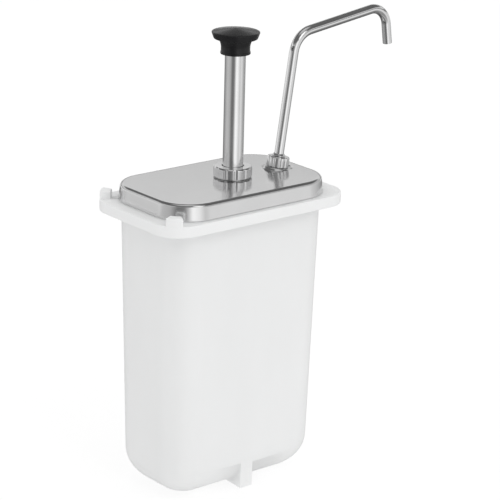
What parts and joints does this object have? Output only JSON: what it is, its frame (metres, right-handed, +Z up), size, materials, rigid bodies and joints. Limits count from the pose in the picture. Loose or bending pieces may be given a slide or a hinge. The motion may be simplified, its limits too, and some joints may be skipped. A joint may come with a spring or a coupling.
{
  "type": "condiment pump dispenser",
  "caption": "Deep plastic condiment jar with a steel lid, a push-knob plunger pump hung in it and a bent steel discharge spout.",
  "frame": {"origin": "centre of the jar's flat bottom face, the face it stands on", "axes": "+Z up, parallel to the plunger; +X along the jar's long side towards the spout's tip; +Y across the jar, completing a right-handed frame"},
  "size_m": [0.3316, 0.1366, 0.4655],
  "materials": {
    "milky_plastic": "satin, milky translucent white",
    "brushed_steel": "fine brushed along its length",
    "polished_steel": "polished stainless",
    "black_phenolic": "gloss black moulding",
    "white_acetal": "turned white plastic",
    "seal_rubber": "dark food-grade rubber"
  },
  "bodies": {
    "jar": {"jar": "milky_plastic"},
    "pump": {"lid": "brushed_steel", "collar_washer": "polished_steel", "lock_collar": "polished_steel", "cylinder": "polished_steel", "cylinder_gasket": "seal_rubber", "guide_bushing": "white_acetal", "valve_body": "white_acetal", "inlet_ball_pin": "polished_steel", "cylinder_o_ring": "seal_rubber", "discharge_o_ring": "seal_rubber", "discharge_tube": "polished_steel", "discharge_sleeve": "polished_steel", "discharge_gasket": "seal_rubber", "discharge_nut": "polished_steel", "discharge_ferrule": "polished_steel", "return_spring": "polished_steel"},
    "plunger": {"knob": "black_phenolic", "plunger_tube": "polished_steel", "piston_rod": "polished_steel", "portion_collar_1": "white_acetal", "portion_collar_2": "white_acetal", "portion_collar_3": "white_acetal", "piston_washer_upper": "polished_steel", "piston_head": "white_acetal", "piston_seal": "seal_rubber", "piston_washer_lower": "polished_steel", "piston_nut": "polished_steel"},
    "inlet_check": {"inlet_ball": "polished_steel"},
    "outlet_check": {"outlet_ball": "polished_steel"}
  },
  "joints": [
    {"name": "pump_lift", "type": "slide", "parent": "jar", "child": "pump", "axis": [0, 0, 1], "range_m": [0, 0.32]},
    {"name": "plunger_press", "type": "slide", "parent": "pump", "child": "plunger", "axis": [0, 0, -1], "range_m": [0, 0.058], "stiffness_N_per_m": 320, "springref_m": -0.03, "deforming": ["return_spring"]},
    {"name": "inlet_ball_lift", "type": "slide", "parent": "pump", "child": "inlet_check", "axis": [0, 0, 1], "range_m": [0, 0.005]},
    {"name": "outlet_ball_lift", "type": "slide", "parent": "pump", "child": "outlet_check", "axis": [0.149, 0, 0.9888], "range_m": [0, 0.003]}
  ]
}
